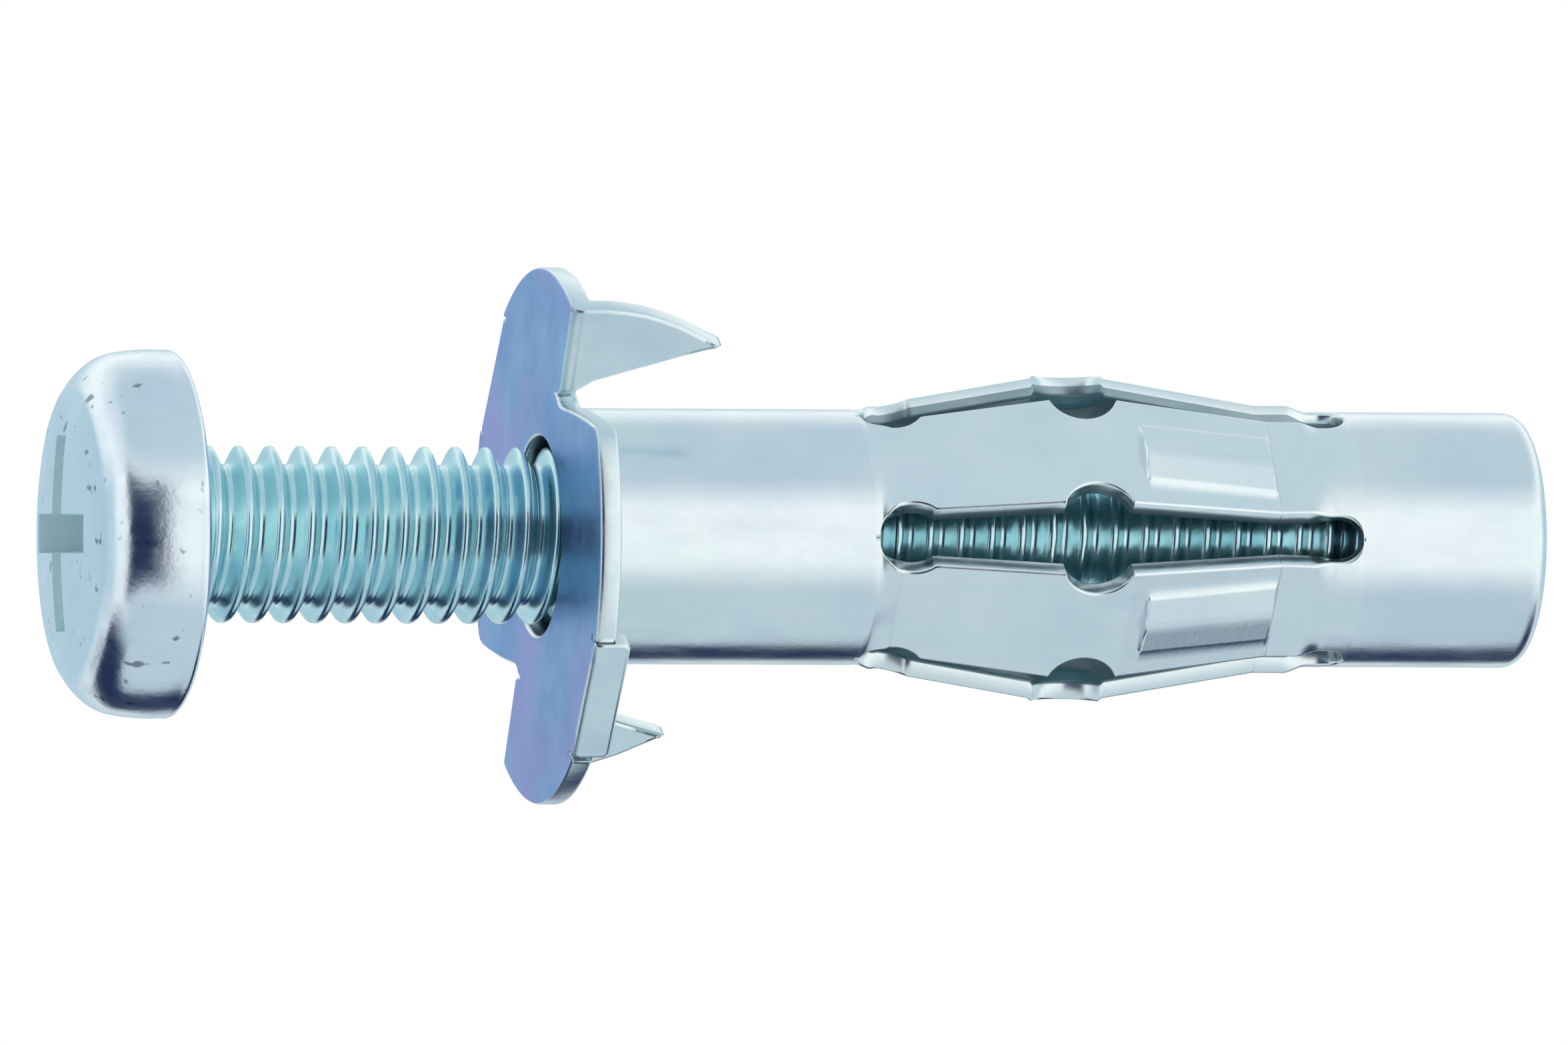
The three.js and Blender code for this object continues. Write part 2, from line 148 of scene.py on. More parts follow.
# ---------- materials ----------
def zinc(name, light, dark, rough, film=None, film_share=0.0, lines=0.0, wear=0.25, grain=1.0, tint=None, specks=0.0):
    """Zinc plate: colour drifts between two tones, a faint interference film in patches, fine grain and
    drawing lines along the axis in the bump, brighter rubbed edges."""
    m = bpy.data.materials.new(name)
    m.use_nodes = True
    nt = m.node_tree
    nt.nodes.clear()
    new, link = nt.nodes.new, nt.links.new
    out = new("ShaderNodeOutputMaterial")
    b = new("ShaderNodeBsdfPrincipled")
    b.inputs["Metallic"].default_value = 1.0
    if tint:
        b.inputs["Specular Tint"].default_value = (*tint, 1)
    link(b.outputs[0], out.inputs[0])
    pos = new("ShaderNodeTexCoord")

    def noise(scale, detail=3.0, rough_=0.55, stretch=(1, 1, 1)):
        mp = new("ShaderNodeMapping")
        mp.inputs["Scale"].default_value = stretch
        link(pos.outputs["Object"], mp.inputs["Vector"])
        n = new("ShaderNodeTexNoise")
        n.inputs["Scale"].default_value = scale
        n.inputs["Detail"].default_value = detail
        n.inputs["Roughness"].default_value = rough_
        link(mp.outputs[0], n.inputs["Vector"])
        return n.outputs["Fac"]

    def ramp(fac, stops):
        r = new("ShaderNodeValToRGB")
        r.color_ramp.elements[0].position, r.color_ramp.elements[0].color = stops[0][0], (*stops[0][1], 1)
        r.color_ramp.elements[1].position, r.color_ramp.elements[1].color = stops[-1][0], (*stops[-1][1], 1)
        for p, c in stops[1:-1]:
            e = r.color_ramp.elements.new(p)
            e.color = (*c, 1)
        link(fac, r.inputs[0])
        return r.outputs[0]

    def mix(fac, a, c, kind="MIX"):
        x = new("ShaderNodeMix")
        x.data_type, x.blend_type = "RGBA", kind
        if isinstance(fac, (int, float)):
            x.inputs[0].default_value = fac
        else:
            link(fac, x.inputs[0])
        for sock, v in ((x.inputs[6], a), (x.inputs[7], c)):
            if isinstance(v, tuple):
                sock.default_value = (*v, 1)
            else:
                link(v, sock)
        return x.outputs[2]

    clouds = noise(520, 4)
    colour = ramp(clouds, [(0.3, dark), (0.7, light)])
    if film:
        patches = ramp(noise(330, 2, 0.5), [(0.42, (0, 0, 0)), (0.66, (film_share,) * 3)])
        colour = mix(patches, colour, film)
    if specks:  # small dark pits in the plate
        pits = ramp(noise(2300, 2, 0.5), [(0.66, (0, 0, 0)), (0.72, (specks,) * 3)])
        colour = mix(pits, colour, (0.10, 0.12, 0.17))
    # rubbed edges show brighter zinc
    geo = new("ShaderNodeNewGeometry")
    edge = ramp(geo.outputs["Pointiness"], [(0.53, (0, 0, 0)), (0.62, (wear,) * 3)])
    colour = mix(edge, colour, (0.86, 0.9, 0.91))
    link(colour, b.inputs["Base Color"])
    r = new("ShaderNodeMapRange")
    r.inputs["From Min"].default_value, r.inputs["From Max"].default_value = 0.3, 0.7
    r.inputs["To Min"].default_value, r.inputs["To Max"].default_value = rough - 0.05, rough + 0.07
    link(noise(1900, 4, 0.6, (0.35, 1, 1)), r.inputs["Value"])
    link(r.outputs[0], b.inputs["Roughness"])
    bump = new("ShaderNodeBump")
    bump.inputs["Strength"].default_value = 0.10 * grain
    bump.inputs["Distance"].default_value = 2e-5
    add = new("ShaderNodeMath")
    add.operation = "MULTIPLY_ADD"
    link(noise(5200, 3, 0.6, (0.12, 1, 1)), add.inputs[0])
    add.inputs[1].default_value = lines
    link(noise(7000, 3, 0.6), add.inputs[2])
    link(add.outputs[0], bump.inputs["Height"])
    link(bump.outputs[0], b.inputs["Normal"])
    return m


M_TUBE = zinc("zinc_tube", (0.80, 0.88, 0.89), (0.72, 0.83, 0.86), 0.22, film=(0.66, 0.72, 0.90), film_share=0.35, lines=1.2)
M_LEG = zinc("zinc_legs", (0.83, 0.91, 0.91), (0.74, 0.85, 0.88), 0.25, film=(0.74, 0.80, 0.92), film_share=0.25, lines=0.6)
M_FLANGE = zinc("zinc_flange", (0.49, 0.66, 0.86), (0.31, 0.48, 0.69), 0.34, film=(0.60, 0.50, 0.79), film_share=0.75, wear=0.0, tint=(0.68, 0.74, 0.95))
M_SPUR = zinc("zinc_cut", (0.78, 0.88, 0.90), (0.64, 0.78, 0.83), 0.3, wear=0.0)
M_THREAD = zinc("zinc_thread", (0.64, 0.87, 0.90), (0.44, 0.71, 0.78), 0.22, wear=0.35, grain=1.5)
M_HEAD = zinc("zinc_head", (0.80, 0.89, 0.93), (0.68, 0.80, 0.87), 0.20, film=(0.66, 0.72, 0.88), film_share=0.3, wear=0.3, grain=1.8, specks=0.75)
M_RECESS = zinc("zinc_recess", (0.78, 0.95, 0.97), (0.68, 0.86, 0.90), 0.5, wear=0.1)
M_RECESS.node_tree.nodes["Principled BSDF"].inputs["Metallic"].default_value = 0.2
# painted shade: a darker zinc for the inner faces and end caps of the leg strips, standing in for the shade inside the
# anchor
M_INSIDE_PAINTED_SHADE = zinc("zinc_inside_painted_shade", (0.38, 0.50, 0.54), (0.27, 0.38, 0.42), 0.42, wear=0.1)
M_NUT = zinc("zinc_nut", (0.55, 0.66, 0.70), (0.42, 0.54, 0.60), 0.32)


# ---------- flange: a developed sheet pattern, folded ----------
SPUR_U = (math.cos(math.radians(60)), math.sin(math.radians(60)))
SPUR_V = (SPUR_U[1], -SPUR_U[0])  # towards the notch
ZONE = 0.56  # a fold takes this much of the sheet on each side of its outer corner
R_SPUR, R_LIP, R_IN = 0.30, 0.2, 0.04
BEND_ARC = 0.72  # length of a fold's zone in the flat pattern
FOOT = (1.98 - ZONE * SPUR_V[0], 2.80 - ZONE * SPUR_V[1])
LIP_A = math.radians(-40)
LIP_N = (math.cos(LIP_A), math.sin(LIP_A))
LIP_T = (-math.sin(LIP_A), math.cos(LIP_A))
LIP_D = 5.68 - ZONE
LIP_HALF = 1.63


def folded(e, depth, r_out):
    """Where a point of the sheet lands, e past the start of the fold and depth below the front face."""
    s = depth / FLANGE_T
    r = r_out + (R_IN - r_out) * s
    run = ZONE - depth - r  # straight part before and after the arc
    if e >= BEND_ARC:
        return ZONE - depth, ZONE + (e - BEND_ARC)
    # inner layers are shorter, so the same share of each layer's length goes to each part
    total = 2 * run + r * math.pi / 2
    g = e / BEND_ARC * total
    if g < run:
        return g, depth
    if g > total - run:
        return run + r, ZONE - (total - g)
    th = (g - run) / r
    return run + r * math.sin(th), depth + r * (1 - math.cos(th))


SPUR_SIDE_E = [0.0, 0.12, 0.257, 0.45, 0.62, 0.96, 1.23, 2.02, 2.96, 3.49, 3.75, 5.0]
SPUR_SIDE_S = [0.04, 0.08, 0.15, 0.22, 0.29, 0.46, 0.575, 0.88, 1.215, 1.39, 1.46, 1.9]


def spur_point(s, e):
    return (FOOT[0] + s * SPUR_U[0] + e * SPUR_V[0], FOOT[1] + s * SPUR_U[1] + e * SPUR_V[1])


def lip_point(t, d):
    return (d * LIP_N[0] + t * LIP_T[0], d * LIP_N[1] + t * LIP_T[1])


def rim(a0, a1, n):
    return [(FLANGE_R * math.cos(math.radians(a0 + (a1 - a0) * k / n)),
             FLANGE_R * math.sin(math.radians(a0 + (a1 - a0) * k / n))) for k in range(n + 1)]


def half_outline():
    pts = []
    # lip with a relief slit at each end, counted up in angle
    a_lo = -40 - math.degrees(math.asin((LIP_HALF + 0.1) / FLANGE_R))
    a_hi = -40 + math.degrees(math.asin((LIP_HALF + 0.1) / FLANGE_R))
    pts += [lip_point(-LIP_HALF - 0.09, LIP_D + 0.56), lip_point(-LIP_HALF - 0.07, LIP_D + 0.3), lip_point(-LIP_HALF - 0.01, LIP_D + 0.28)]
    end = LIP_D + BEND_ARC + 0.85 - ZONE
    pts += [lip_point(-LIP_HALF, LIP_D + 0.36), lip_point(-LIP_HALF, end - 0.12), lip_point(-LIP_HALF + 0.12, end)]
    pts += [lip_point(LIP_HALF - 0.12, end), lip_point(LIP_HALF, end - 0.12), lip_point(LIP_HALF, LIP_D + 0.36)]
    pts += [lip_point(LIP_HALF + 0.01, LIP_D + 0.28), lip_point(LIP_HALF + 0.07, LIP_D + 0.3), lip_point(LIP_HALF + 0.09, LIP_D + 0.56)]
    pts += rim(a_hi, 19.6, 18)
    # notch side, with its corner at the rim rounded, up to the relief at the spur's foot
    pts += [(5.53, 2.09), (5.47, 2.23), (5.34, 2.35), (5.15, 2.43), (4.6, 2.54), (3.6, 2.69), (2.75, 2.79)]
    pts += [(2.45, 2.81), (2.2, 2.84), (2.0, 2.88), (1.86, 2.96), (1.78, 3.06)]
    # up the spur's inner edge to its tip and back down its outer edge
    tip = BEND_ARC + 3.5 - ZONE
    h = BEND_ARC - ZONE
    pts += [spur_point(0.12, 0.12), spur_point(0.26, 0.3), spur_point(0.47, 0.62), spur_point(0.66, h + 0.7)]
    pts += [spur_point(0.98, h + 1.65), spur_point(1.31, h + 2.65), spur_point(1.54, tip - 0.08), spur_point(1.585, tip)]
    pts += [spur_point(1.64, tip - 0.08), spur_point(1.82, h + 3.05), spur_point(2.1, h + 2.5), spur_point(2.27, h + 2.05), spur_point(2.38, h + 1.7)]
    pts += [spur_point(2.46, h + 1.25), spur_point(2.5, h + 0.85), spur_point(2.5, 0.35)]
    c = spur_point(2.5, 0.1)
    a_f = math.degrees(math.atan2(c[1], c[0]))
    pts += rim(a_f + 0.6, a_lo + 180 - 0.0, 30)
    return pts


def flange():
    half = half_outline()
    outline = half + [(-p, -q) for p, q in half]
    hole = [(HOLE_R * math.cos(-2 * math.pi * k / 96), HOLE_R * math.sin(-2 * math.pi * k / 96)) for k in range(96)]
    cu = bpy.data.curves.new("flange_pattern", "CURVE")
    cu.dimensions = "2D"
    cu.fill_mode = "BOTH"
    for pts in (outline, hole):
        sp = cu.splines.new("POLY")
        sp.points.add(len(pts) - 1)
        for k, (p, q) in enumerate(pts):
            sp.points[k].co = (p, q, 0, 1)
        sp.use_cyclic_u = True
    round_ = 0.1
    cu.extrude = FLANGE_T / 2 - round_
    cu.bevel_depth = round_
    cu.bevel_resolution = 3
    cu.offset = -round_
    tmp = bpy.data.objects.new("flange_tmp", cu)
    bpy.context.scene.collection.objects.link(tmp)
    bpy.context.view_layer.update()
    dg = bpy.context.evaluated_depsgraph_get()
    me = bpy.data.meshes.new_from_object(tmp.evaluated_get(dg))
    bpy.data.objects.remove(tmp)
    bm = bmesh.new()
    bm.from_mesh(me)
    bmesh.ops.remove_doubles(bm, verts=bm.verts, dist=1e-4)

    def cut(point, normal):
        geom = list(bm.verts) + list(bm.edges) + list(bm.faces)
        bmesh.ops.bisect_plane(bm, geom=geom, dist=1e-5, plane_co=(*point, 0), plane_no=(*normal, 0))

    steps = [BEND_ARC * k / 14 for k in range(15)]
    for sign in (1, -1):
        for e in steps:
            c = spur_point(1, e)
            cut((c[0] * sign, c[1] * sign), (SPUR_V[0], SPUR_V[1]))
            c = lip_point(0, LIP_D + e)
            cut((c[0] * sign, c[1] * sign), (LIP_N[0], LIP_N[1]))
    bmesh.ops.triangulate(bm, faces=bm.faces)
    for v in bm.verts:
        p, q, z = v.co
        depth = min(FLANGE_T, max(0.0, z + FLANGE_T / 2))  # below the front face
        x = depth
        moved = False
        for sign in (1, -1):
            a, b = p * sign, q * sign
            da, db = a - FOOT[0], b - FOOT[1]
            s = da * SPUR_U[0] + db * SPUR_U[1]
            e = da * SPUR_V[0] + db * SPUR_V[1]
            if 1e-4 < e < 5 and lerp(e, SPUR_SIDE_E, SPUR_SIDE_S) < s < 3:
                e2, x2 = folded(e, depth, R_SPUR)
                a, b = spur_point(s, e2)
                p, q, x, moved = a * sign, b * sign, x2, True
                break
            d = a * LIP_N[0] + b * LIP_N[1]
            t = a * LIP_T[0] + b * LIP_T[1]
            if d > LIP_D + 1e-4 and abs(t) < LIP_HALF + 0.004:
                e = d - LIP_D
                e2, x2 = folded(e, depth, R_LIP)
                a, b = lip_point(t, LIP_D + e2)
                p, q, x, moved = a * sign, b * sign, x2, True
                break
        v.co = ((x - FLANGE_T) * MM, -p * MM, q * MM)
    bmesh.ops.recalc_face_normals(bm, faces=bm.faces)
    me2 = bpy.data.meshes.new("flange_plate")
    bm.to_mesh(me2)
    bm.free()
    flat_dirs = [Vector((1, 0, 0)), Vector((0, -SPUR_V[0], SPUR_V[1])), Vector((0, -LIP_N[0], LIP_N[1]))]
    for f in me2.polygons:
        f.use_smooth = all(abs(f.normal.dot(d)) < 0.9995 for d in flat_dirs)
    me2.materials.append(M_FLANGE)
    me2.materials.append(M_SPUR)
    # the back, the folded spurs, the lips and the cut edges keep the plain plate's colour
    for f in me2.polygons:
        c = f.center / MM
        front = f.normal.x < -0.6 and c.x < -0.3 and (f.normal.x < -0.93 or c.yz.length > 5.7)
        f.material_index = 0 if front else 1
    o = bpy.data.objects.new("flange_plate", me2)
    bpy.context.scene.collection.objects.link(o)
    return o


flange_plate = flange()
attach(flange_plate, "sleeve")

# ---------- tube ----------
tube_profile = [(-0.3, TUBE_R - T), (-0.3, TUBE_R), (-0.02, 3.12), (0.0, 3.12)]
tube_profile += [(0.3 - 0.3 * math.cos(a), TUBE_R + 0.3 - 0.3 * math.sin(a)) for a in np.linspace(0.15, math.pi / 2, 7)]
tube_profile += [(x, TUBE_R) for x in (0.8, 2.0, 3.5, 5.0, 6.2)]
tube_profile += [(TUBE_END, TUBE_R), (TUBE_END, TUBE_R - T), (3.0, TUBE_R - T)]
sleeve_tube = lathe("sleeve_tube", tube_profile, M_TUBE, 160, closed=True)
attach(sleeve_tube, "sleeve")
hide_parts("flanged_sleeve")


# ---------- leg strips ----------
def outer_d(x):
    """Axis to the outer face, at the middle of the strip."""
    return lerp(x, [6.6, 7.0, PIVOT_X, KNEE_X - KNEE_FLAT, KNEE_X + KNEE_FLAT, REAR_X, 16.35, 17.0],
                [TUBE_R, 2.74, ROOT_D, KNEE_D, KNEE_D, ROOT_D, 2.72, TUBE_R])


def flatness(x):
    """0 where the strip is part of the round tube, 1 where it is flat."""
    if x < KNEE_X:
        return smooth((x - 6.62) / 0.5)
    return 1 - smooth((x - 16.35) / 0.65)


def half_width(x):
    mid_r = TUBE_R - T / 2
    full = math.radians(36) * mid_r
    k = mid_r / TUBE_R
    # slot half-width at the tube's surface
    if x < 6.6:
        gap = 0.0
    elif x < 7.3:
        gap = 0.7 * math.sqrt(max(0, 1 - ((x - 7.3) / 0.7) ** 2))
    elif x < 17.1:
        gap = max(0.5, 0.7 * math.sqrt(max(0, 1 - ((x - 7.3) / 0.7) ** 2)))
    elif x < SLOT_END:
        gap = 0.5 * math.sqrt(max(0, 1 - ((x - 17.1) / 0.5) ** 2))
    else:
        gap = 0.0
    tube = full - gap * k
    line = lerp(x, [7.6, KNEE_X, REAR_X, 17], [ROOT_HW, KNEE_HW, ROOT_HW, 1.24])
    hole = 0.7 * math.sqrt(max(0, 1 - ((x - 7.3) / 0.7) ** 2))
    flat = min(line, 1.74 - hole) if hole > 0 else line
    f = flatness(x)
    hw = (1 - f) * tube + f * flat
    r, depth = 0.82, 0.56
    c = KNEE_HW - depth + r
    if abs(x - KNEE_X) < r:
        hw = min(hw, c - math.sqrt(r * r - (x - KNEE_X) ** 2))
    return hw


def bead(x, a):
    """Height of the roof-shaped stiffening bead."""
    x0, x1, w = 12.6, 15.69, 0.74
    if x < x0 or x > x1 or abs(a) > w:
        return 0.0
    ends = min(1.0, (x - x0) / 0.06, (x1 - x) / 0.06)
    return ends * (0.06 + 0.16 * (1 - abs(a) / w))


def section(x, outer_samples, lift=None, t_in=None, outer_off=0.0, rims=None):
    """One closed loop (w, d) across the strip at x: rounded cut edges, bent to the tube's curve or flat."""
    hw = half_width(x)
    f = flatness(x)
    d0 = outer_d(x) - outer_off
    t = T if t_in is None else t_in
    rc = min(0.07, t / 2.2)
    mid_r = (TUBE_R - T / 2) / max(1e-3, 1 - f)
    pts = []
    # left edge, mid height, up and round
    corner = [(-hw, 0)]
    corner += [(-hw + rc - rc * math.cos(u), t / 2 - rc + rc * math.sin(u)) for u in np.linspace(0, math.pi / 2, 4)]
    top = [(a, t / 2) for a in outer_samples(hw - rc * 1.02)]
    right = [(-a, b) for a, b in reversed(corner)]
    under = [(hw - rc + rc * math.sin(u), -t / 2 + rc - rc * math.cos(u)) for u in np.linspace(math.pi / 2, 0, 4)]
    bottom = [(a, -t / 2) for a in reversed([q for q in outer_samples(hw - rc * 1.02)])]
    left = [(-a, b) for a, b in reversed(under)]
    loop = corner + top + right + under + bottom + left
    near = 1 - ((x - KNEE_X) / 0.82) ** 2
    rim_lift = rims or (0.03, 0.03)
    for a, b in loop:
        if lift is not None and b > t / 2 - 1e-6:
            b = b + lift(x, a)
        if near > 0:  # the punched knee hole's rim stands up a little
            b = b + rim_lift[a > 0] * math.sqrt(near) * smooth((abs(a) - (hw - 0.34)) / 0.34)
        if f > 0.999:
            pts.append((a, d0 - t / 2 + b))
        else:
            th = a / mid_r
            pts.append(((mid_r + b) * math.sin(th), d0 - t / 2 - mid_r + (mid_r + b) * math.cos(th)))
    return pts


def strip(name, deg, xs, body_material, samples, lift=None, tweak=None, rims=None):
    """A strip of sheet from its sections, closed at both ends; its inner faces and end caps carry painted shade."""
    n = np.array([0, -math.cos(math.radians(deg)), math.sin(math.radians(deg))])
    w = np.array([0, math.sin(math.radians(deg)), math.cos(math.radians(deg))])
    verts, faces, inside = [], [], []
    m = None
    # the faces on the inner side from here on, and the end caps, get the darker second material: painted shade inside
    # the tube and legs
    shade_start = 10 + len(samples(1.2))  # from here on a loop runs round the inner side
    for x in xs:
        sec = tweak(x) if tweak and tweak(x) else section(x, samples, lift, rims=rims)
        m = len(sec)
        for a, d in sec:
            verts.append(np.array([x, 0, 0]) + a * w + d * n)
    rows = len(xs)
    for i in range(rows - 1):
        for k in range(m):
            l = (k + 1) % m
            faces.append((i * m + k, i * m + l, (i + 1) * m + l, (i + 1) * m + k))
            inside.append(k >= shade_start)
    for base, flip in ((0, False), ((rows - 1) * m, True)):
        loop = list(range(base, base + m))
        faces.append(tuple(reversed(loop)) if flip else tuple(loop))
        inside.append(True)
    return finish_mesh(name, verts, faces, body_material, 40, second=(M_INSIDE_PAINTED_SHADE, inside))


def plain_samples(hw):
    return list(np.linspace(-hw, hw, 15))


def bead_samples(hw):
    return sorted([-hw, -hw * 0.5 - 0.4, -0.8, -0.722, -0.66, -0.4, -0.2, -0.04, 0.04, 0.2, 0.4, 0.66, 0.722, 0.8, hw * 0.5 + 0.4, hw])


def stations(*spans):
    xs = []
    for a, b, n in spans:
        xs += list(np.linspace(a, b, n))
    return sorted(set(round(float(x), 5) for x in xs))


ends = [7.3 - 0.7 * math.cos(u) for u in np.linspace(0, math.pi / 2, 12)]
XA = sorted(set([round(x, 5) for x in ends] + stations((TUBE_END, 6.6, 2), (7.3, 8.05, 14), (8.05, 9.3, 7), (6.95, 7.35, 15))))
XB = stations((9.3, 10.5, 5), (10.55, 10.78, 9), (10.8, 12.1, 40), (12.1, 12.35, 8))
XC = stations((12.35, 12.58, 3), (12.6, 12.68, 4), (12.7, 15.6, 10), (15.62, 15.69, 4), (15.69, REAR_X, 2))
KN = [REAR_X + T * math.sin(u) for u in np.linspace(0.12, 1.28, 8)]
rear_ends = [17.1 + 0.5 * math.sin(u) for u in np.linspace(0, math.pi / 2, 12)]
XF = sorted(set(stations((REAR_X + 0.008, 16.3, 5), (16.35, 17.1, 14)) + [round(x, 5) for x in rear_ends] + [17.65]))


def knuckle(x):
    """The rear link's end: inside the collar's finger at rest, it rolls out to fill the bend as the leg folds."""
    if x <= REAR_X + 1e-6:
        return None
    hw = half_width(x) - 0.03
    inner = ROOT_D - math.sqrt(max(0.0, T * T - (x - REAR_X) ** 2)) * 0.985
    outer = ROOT_D - 0.012 - (x - REAR_X) * 0.245  # just clear of the finger when fully folded
    t = max(0.004, outer - inner)
    count = len(section(REAR_X, bead_samples))
    per = len(bead_samples(1.2))
    rc = min(0.05, t / 2.2)
    corner = [(-hw, 0)]
    corner += [(-hw + rc - rc * math.cos(u), t / 2 - rc + rc * math.sin(u)) for u in np.linspace(0, math.pi / 2, 4)]
    top = [(a, t / 2) for a in bead_samples(hw - rc * 1.02)]
    right = [(-a, b) for a, b in reversed(corner)]
    under = [(hw - rc + rc * math.sin(u), -t / 2 + rc - rc * math.cos(u)) for u in np.linspace(math.pi / 2, 0, 4)]
    bottom = [(a, -t / 2) for a in reversed(bead_samples(hw - rc * 1.02))]
    left = [(-a, b) for a, b in reversed(under)]
    loop = corner + top + right + under + bottom + left
    assert len(loop) == count and per
    return [(a, outer - t / 2 + b) for a, b in loop]


for i, deg in enumerate(LEGS, 1):
    front, rear = f"leg_{i}_front", f"leg_{i}_rear"
    a = strip(f"leg_{i}_root", deg, XA, M_LEG, plain_samples)
    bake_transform(a)
    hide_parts(front)
    b = strip(f"leg_{i}_knee", deg, XB, M_LEG, plain_samples, rims={2: (0.19, 0.03), 4: (0.03, 0.19)}.get(i))
    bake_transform(b)
    c = strip(f"leg_{i}_beaded", deg, XC + KN, M_LEG, bead_samples, bead, knuckle)
    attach(c, rear)
    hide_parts(rear)
    d = strip(f"collar_finger_{i}", deg, XF, M_LEG, plain_samples)
    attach(d, "collar")

# ---------- rear collar ----------
collar_profile = [(17.65, TUBE_R - T), (17.65, TUBE_R)]
collar_profile += [(x, TUBE_R) for x in (18.5, 19.5, 20.5)]
collar_profile += arc(COLLAR_X1 - 0.45, TUBE_R - 0.45, 0.45, 90, 0, 9)
collar_profile += [(COLLAR_X1, 2.16), (COLLAR_X1 - 0.04, 2.12), (COLLAR_X1 - 0.42, 2.12), (COLLAR_X1 - 0.45, TUBE_R - T)]
rear_collar = lathe("collar_tube", collar_profile, M_TUBE, 160, closed=True)
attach(rear_collar, "collar")
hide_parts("rear_collar")

# ---------- threaded barrel ----------
nut_profile = [(17.8, 2.15), (17.8, 2.25), (17.86, 2.315), (21.29, 2.315), (21.35, 2.25), (21.35, 2.15), (21.22, 2.03)]
k, x = 0, 21.05
while x > 18.0:
    nut_profile.append((x, 2.03 if k % 2 == 0 else 2.12))
    x -= 0.175
    k += 1
nut_profile.append((17.93, 2.03))
nut = lathe("barrel", nut_profile, M_NUT, 96, closed=True)
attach(nut, "nut")
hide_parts("nut_barrel")


# ---------- screw ----------
def thread(name, x0, x1, material, seg=96):
    phases = [0.0, 0.035, 0.075, 0.14, 0.22, 0.30, 0.37, 0.42, 0.5, 0.58, 0.63, 0.70, 0.78, 0.86, 0.925, 0.965]
    major, root = 1.95, 1.55

    def radius(ph):
        ph = ph % 1.0
        u = abs(ph - 0.5) * 2  # 1 at the crest, 0 at the root
        g = min(1.0, max(0.0, (u - 0.19) / 0.68))
        g = 0.12 * smooth(g) + 0.88 * g
        soft = 0.5 - 0.5 * math.cos(math.pi * g)
        return root + (major - root) * (0.72 * g + 0.28 * soft)

    k = len(phases)
    turns = int(math.ceil((x1 - x0) / PITCH)) + 3
    rows = turns * k
    start = x0 - 1.5 * PITCH
    verts = []
    for j in range(seg):
        a = 2 * math.pi * j / seg
        for i in range(rows):
            turn, ph = divmod(i, k)
            x = start + (turn + phases[ph] + j / seg) * PITCH
            r = radius(phases[ph])
            xc = min(max(x, x0), x1)
            if xc != x:
                r = radius(((xc - start) / PITCH - j / seg))
            tip = x1 - xc
            r = min(r, 1.38 + tip * 0.95) if tip < 0.75 else r
            if xc >= x1 - 1e-9:
                r = 1.38
            if xc <= x0 + 1e-9:
                r = 1.5
            verts.append((xc, -r * math.cos(a), r * math.sin(a)))
    faces = []
    for j in range(seg):
        l = (j + 1) % seg
        shift = k if j == seg - 1 else 0
        for i in range(rows - 1):
            if i + 1 + shift >= rows:
                break
            if j == seg - 1:
                faces.append((j * rows + i, l * rows + i + shift, l * rows + i + 1 + shift, j * rows + i + 1))
            else:
                faces.append((j * rows + i, l * rows + i, l * rows + i + 1, j * rows + i + 1))
    o = finish_mesh(name, verts, faces, material, 60, weld=1e-4)
    bm = bmesh.new()
    bm.from_mesh(o.data)
    bmesh.ops.delete(bm, geom=[v for v in bm.verts if not v.link_faces], context="VERTS")
    open_ = [e for e in bm.edges if e.is_boundary]
    bmesh.ops.holes_fill(bm, edges=open_, sides=0)
    bmesh.ops.recalc_face_normals(bm, faces=bm.faces)
    bm.to_mesh(o.data)
    bm.free()
    o.data.polygons.foreach_set("use_smooth", [True] * len(o.data.polygons))
    o.data.set_sharp_from_angle(angle=math.radians(50))
    return o


screw_thread = thread("screw_thread", -9.2, 21.2, M_THREAD)
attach(screw_thread, "screw")
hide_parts("screw")

dome = catmull([(-8.98, 4.05), (-9.3, 4.06), (-9.6, 4.048), (-9.9, 4.018), (-10.2, 3.965), (-10.42, 3.88), (-10.62, 3.75), (-10.82, 3.56), (-10.97, 3.36)], 4)
cap = catmull([(-11.08, 3.16), (-11.17, 2.75), (-11.26, 2.2), (-11.325, 1.5), (-11.36, 0.8), (-11.37, 0.25)], 4)
head_profile = [(-8.76, 0.0), (-8.76, 2.2), (-8.76, 3.83)] + arc(-8.96, 3.86, 0.2, 0, 80, 6)[1:] + dome
head_profile += [(-11.03, 3.27)] + cap + [(-11.372, 0.0)]
head = lathe("screw_head", head_profile, M_HEAD, 160, sharp=50)


def recess_cutter():
    """A cross of four tapered wings."""
    verts, faces = [], []
    for ang in (0, 90):
        c, s = math.cos(math.radians(ang)), math.sin(math.radians(ang))
        base = len(verts)
        for x, half, w in ((-12.0, 2.28, 0.46), (-11.0, 2.12, 0.42), (-9.6, 1.25, 0.34)):
            for a, b in ((-half, -w), (half, -w), (half, w), (-half, w)):
                p, q = a * c - b * s, a * s + b * c
                verts.append((x, -p, q))
        for lvl in (0, 1):
            for k in range(4):
                l = (k + 1) % 4
                faces.append((base + lvl * 4 + k, base + lvl * 4 + l, base + lvl * 4 + 4 + l, base + lvl * 4 + 4 + k))
        faces.append(tuple(base + k for k in range(4)))
        faces.append(tuple(base + 8 + k for k in reversed(range(4))))
    out = []
    for half in (0, 1):
        n = len(verts) // 2
        m = len(faces) // 2
        fs = [tuple(v - half * n for v in f) for f in faces[half * m:(half + 1) * m]]
        o = finish_mesh(f"cut_{half}", verts[half * n:(half + 1) * n], fs, M_HEAD)
        out.append(o)
    return out


